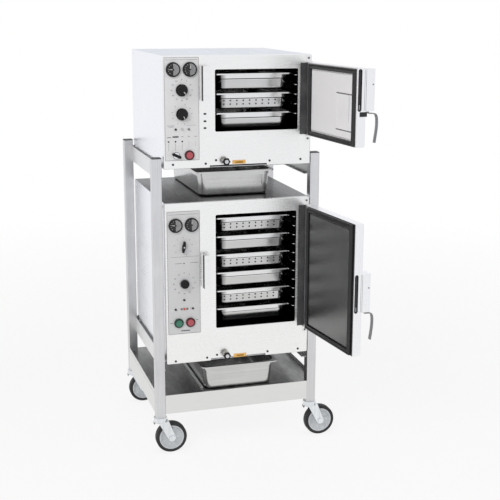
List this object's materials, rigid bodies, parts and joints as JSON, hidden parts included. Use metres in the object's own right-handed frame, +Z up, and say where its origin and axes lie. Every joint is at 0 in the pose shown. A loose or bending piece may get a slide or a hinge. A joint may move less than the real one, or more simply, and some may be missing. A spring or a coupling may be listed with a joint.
{
  "type": "double convection steamer on a stand",
  "caption": "Two stainless steamers stacked on a caster stand, with hinged doors open, steam pans on wire racks, control columns and drip pans below each unit.",
  "frame": {"origin": "on the floor under the centre of the stand's four posts", "axes": "+X to the right of a viewer at the front, +Y to the rear, +Z up"},
  "size_m": [0.7747, 1.0625, 1.5922],
  "materials": {
    "stainless": "brushed stainless steel",
    "stand_steel": "brushed stainless tube",
    "pan_steel": "pressed stainless steel",
    "wire": "bright wire",
    "zinc": "bright zinc plate",
    "tyre": "black rubber tread, grey core",
    "black_plastic": "moulded",
    "overlay": "printed plate",
    "gauge": "chromed bezel",
    "brass": "nickel-plated brass",
    "gasket": "moulded silicone",
    "cast": "as cast",
    "red": "moulded",
    "green": "moulded"
  },
  "bodies": {
    "stand": {"posts": "stand_steel", "post_caps": "black_plastic", "stand_rails": "stand_steel", "bottom_shelf": "stand_steel", "caster_stems": "zinc", "casings": "stainless", "front_panels": "pan_steel", "back_panels": "pan_steel", "cavities": "stainless", "pan_racks": "wire", "control_overlays": "overlay", "indicators": "gauge", "switch_blocks": "black_plastic", "door_hardware": "stainless", "fittings": "brass", "heater_plates": "cast", "fan_motors": "cast"},
    "upper_door": {"upper_door_shell": "stainless", "upper_door_liner": "stainless", "upper_door_gasket": "gasket", "upper_latch_housing": "stainless"},
    "upper_lever": {"upper_latch_lever": "stainless"},
    "upper_bolt": {"upper_latch_bolt": "stainless"},
    "upper_pan_1": {"upper_pan_1": "pan_steel"},
    "upper_pan_2": {"upper_pan_2": "pan_steel"},
    "upper_pan_3": {"upper_pan_3": "pan_steel"},
    "lower_door": {"lower_door_shell": "stainless", "lower_door_liner": "stainless", "lower_door_gasket": "gasket", "lower_latch_housing": "stainless"},
    "lower_lever": {"lower_latch_lever": "stainless"},
    "lower_bolt": {"lower_latch_bolt": "stainless"},
    "lower_pan_1": {"lower_pan_1": "pan_steel"},
    "lower_pan_2": {"lower_pan_2": "pan_steel"},
    "lower_pan_3": {"lower_pan_3": "pan_steel"},
    "lower_pan_4": {"lower_pan_4": "pan_steel"},
    "lower_pan_5": {"lower_pan_5": "pan_steel"},
    "lower_pan_6": {"lower_pan_6": "pan_steel"},
    "upper_drip_pan": {"upper_drip_pan": "pan_steel"},
    "lower_drip_pan": {"lower_drip_pan": "pan_steel"},
    "upper_timer_knob": {"upper_timer_knob": "black_plastic"},
    "upper_mode_knob": {"upper_mode_knob": "black_plastic"},
    "upper_selector": {"upper_selector": "black_plastic"},
    "lower_power_knob": {"lower_power_knob": "black_plastic"},
    "lower_timer_knob": {"lower_timer_knob": "black_plastic"},
    "upper_drain_knob": {"upper_drain_knob": "black_plastic"},
    "lower_drain_knob": {"lower_drain_knob": "black_plastic"},
    "upper_stop_button": {"upper_stop_button": "red"},
    "lower_start_button": {"lower_start_button": "green"},
    "lower_stop_button": {"lower_stop_button": "red"},
    "upper_fan_wheel": {"upper_fan_wheel": "stainless"},
    "lower_fan_wheel": {"lower_fan_wheel": "stainless"},
    "front_left_caster": {"front_left_fork": "zinc"},
    "front_left_wheel": {"front_left_wheel": "tyre"},
    "front_right_caster": {"front_right_fork": "zinc"},
    "front_right_wheel": {"front_right_wheel": "tyre"},
    "rear_left_caster": {"rear_left_fork": "zinc"},
    "rear_left_wheel": {"rear_left_wheel": "tyre"},
    "rear_right_caster": {"rear_right_fork": "zinc"},
    "rear_right_wheel": {"rear_right_wheel": "tyre"}
  },
  "joints": [
    {"name": "upper_door_hinge", "type": "hinge", "parent": "stand", "child": "upper_door", "pos_m": [0.283, -0.34245, 1.4215], "axis": [0, 0, 1], "range_deg": [-95.7, 25]},
    {"name": "upper_lever_hinge", "type": "hinge", "parent": "upper_door", "child": "upper_lever", "pos_m": [0.36413, -0.71222, 1.427], "axis": [0.0993, -0.9951, 0], "range_deg": [-10, 0]},
    {"name": "upper_bolt_slide", "type": "slide", "parent": "upper_door", "child": "upper_bolt", "axis": [0.0993, -0.9951, 0], "range_m": [0, 0.0101]},
    {"name": "upper_pan_1_slide", "type": "slide", "parent": "stand", "child": "upper_pan_1", "axis": [0, -1, 0], "range_m": [0, 0.5]},
    {"name": "upper_pan_2_slide", "type": "slide", "parent": "stand", "child": "upper_pan_2", "axis": [0, -1, 0], "range_m": [0, 0.5]},
    {"name": "upper_pan_3_slide", "type": "slide", "parent": "stand", "child": "upper_pan_3", "axis": [0, -1, 0], "range_m": [0, 0.5]},
    {"name": "lower_door_hinge", "type": "hinge", "parent": "stand", "child": "lower_door", "pos_m": [0.283, -0.34245, 0.748], "axis": [0, 0, 1], "range_deg": [-96.8, 25]},
    {"name": "lower_lever_hinge", "type": "hinge", "parent": "lower_door", "child": "lower_lever", "pos_m": [0.37121, -0.71059, 0.68], "axis": [0.1184, -0.993, 0], "range_deg": [-10, 0]},
    {"name": "lower_bolt_slide", "type": "slide", "parent": "lower_door", "child": "lower_bolt", "axis": [0.1184, -0.993, 0], "range_m": [0, 0.0101]},
    {"name": "lower_pan_1_slide", "type": "slide", "parent": "stand", "child": "lower_pan_1", "axis": [0, -1, 0], "range_m": [0, 0.5]},
    {"name": "lower_pan_2_slide", "type": "slide", "parent": "stand", "child": "lower_pan_2", "axis": [0, -1, 0], "range_m": [0, 0.5]},
    {"name": "lower_pan_3_slide", "type": "slide", "parent": "stand", "child": "lower_pan_3", "axis": [0, -1, 0], "range_m": [0, 0.5]},
    {"name": "lower_pan_4_slide", "type": "slide", "parent": "stand", "child": "lower_pan_4", "axis": [0, -1, 0], "range_m": [0, 0.5]},
    {"name": "lower_pan_5_slide", "type": "slide", "parent": "stand", "child": "lower_pan_5", "axis": [0, -1, 0], "range_m": [0, 0.5]},
    {"name": "lower_pan_6_slide", "type": "slide", "parent": "stand", "child": "lower_pan_6", "axis": [0, -1, 0], "range_m": [0, 0.5]},
    {"name": "upper_drip_pan_slide", "type": "slide", "parent": "stand", "child": "upper_drip_pan", "axis": [0, -1, 0], "range_m": [0, 0.5]},
    {"name": "lower_drip_pan_slide", "type": "slide", "parent": "stand", "child": "lower_drip_pan", "axis": [0, -1, 0], "range_m": [0, 0.5]},
    {"name": "upper_timer_knob_turn", "type": "hinge", "parent": "stand", "child": "upper_timer_knob", "pos_m": [-0.223, -0.32245, 1.464], "axis": [0, 1, 0], "range_deg": [-140, 160]},
    {"name": "upper_mode_knob_turn", "type": "hinge", "parent": "stand", "child": "upper_mode_knob", "pos_m": [-0.223, -0.32245, 1.374], "axis": [0, 1, 0], "range_deg": [-127, 53]},
    {"name": "upper_selector_turn", "type": "hinge", "parent": "stand", "child": "upper_selector", "pos_m": [-0.247, -0.32245, 1.218], "axis": [0, 1, 0], "range_deg": [-90, 0]},
    {"name": "lower_power_knob_turn", "type": "hinge", "parent": "stand", "child": "lower_power_knob", "pos_m": [-0.224, -0.32245, 0.861], "axis": [0, 1, 0], "range_deg": [-90, 90]},
    {"name": "lower_timer_knob_turn", "type": "hinge", "parent": "stand", "child": "lower_timer_knob", "pos_m": [-0.222, -0.32245, 0.712], "axis": [0, 1, 0], "range_deg": [0, 300]},
    {"name": "upper_drain_knob_turn", "type": "hinge", "parent": "stand", "child": "upper_drain_knob", "pos_m": [-0.055, -0.32245, 1.19], "axis": [0, 1, 0], "range_deg": [0, 90]},
    {"name": "lower_drain_knob_turn", "type": "hinge", "parent": "stand", "child": "lower_drain_knob", "pos_m": [-0.054, -0.32245, 0.404], "axis": [0, 1, 0], "range_deg": [0, 90]},
    {"name": "upper_stop_button_press", "type": "slide", "parent": "stand", "child": "upper_stop_button", "axis": [0, 1, 0], "range_m": [0, 0.004], "stiffness_N_per_m": 600},
    {"name": "lower_start_button_press", "type": "slide", "parent": "stand", "child": "lower_start_button", "axis": [0, 1, 0], "range_m": [0, 0.004], "stiffness_N_per_m": 600},
    {"name": "lower_stop_button_press", "type": "slide", "parent": "stand", "child": "lower_stop_button", "axis": [0, 1, 0], "range_m": [0, 0.004], "stiffness_N_per_m": 600},
    {"name": "upper_fan_wheel_spin", "type": "hinge", "parent": "stand", "child": "upper_fan_wheel", "pos_m": [-0.15, -0.02245, 1.42125], "axis": [1, 0, 0], "continuous": true},
    {"name": "lower_fan_wheel_spin", "type": "hinge", "parent": "stand", "child": "lower_fan_wheel", "pos_m": [-0.15, -0.02245, 0.748], "axis": [1, 0, 0], "continuous": true},
    {"name": "front_left_swivel", "type": "hinge", "parent": "stand", "child": "front_left_caster", "pos_m": [-0.32065, -0.2921, 0.131], "axis": [0, 0, 1], "continuous": true},
    {"name": "front_left_spin", "type": "hinge", "parent": "front_left_caster", "child": "front_left_wheel", "pos_m": [-0.27765, -0.2921, 0.0635], "axis": [0, 1, 0], "continuous": true},
    {"name": "front_right_swivel", "type": "hinge", "parent": "stand", "child": "front_right_caster", "pos_m": [0.32065, -0.2921, 0.131], "axis": [0, 0, 1], "continuous": true},
    {"name": "front_right_spin", "type": "hinge", "parent": "front_right_caster", "child": "front_right_wheel", "pos_m": [0.36365, -0.2921, 0.0635], "axis": [0, 1, 0], "continuous": true},
    {"name": "rear_left_swivel", "type": "hinge", "parent": "stand", "child": "rear_left_caster", "pos_m": [-0.32065, 0.2921, 0.131], "axis": [0, 0, 1], "continuous": true},
    {"name": "rear_left_spin", "type": "hinge", "parent": "rear_left_caster", "child": "rear_left_wheel", "pos_m": [-0.27765, 0.2921, 0.0635], "axis": [0, 1, 0], "continuous": true},
    {"name": "rear_right_swivel", "type": "hinge", "parent": "stand", "child": "rear_right_caster", "pos_m": [0.32065, 0.2921, 0.131], "axis": [0, 0, 1], "continuous": true},
    {"name": "rear_right_spin", "type": "hinge", "parent": "rear_right_caster", "child": "rear_right_wheel", "pos_m": [0.36365, 0.2921, 0.0635], "axis": [0, 1, 0], "continuous": true}
  ],
  "couplings": [
    {"joint": "upper_bolt_slide", "follows": "upper_lever_hinge", "m_per_rad": -0.057296},
    {"joint": "lower_bolt_slide", "follows": "lower_lever_hinge", "m_per_rad": -0.057296}
  ]
}
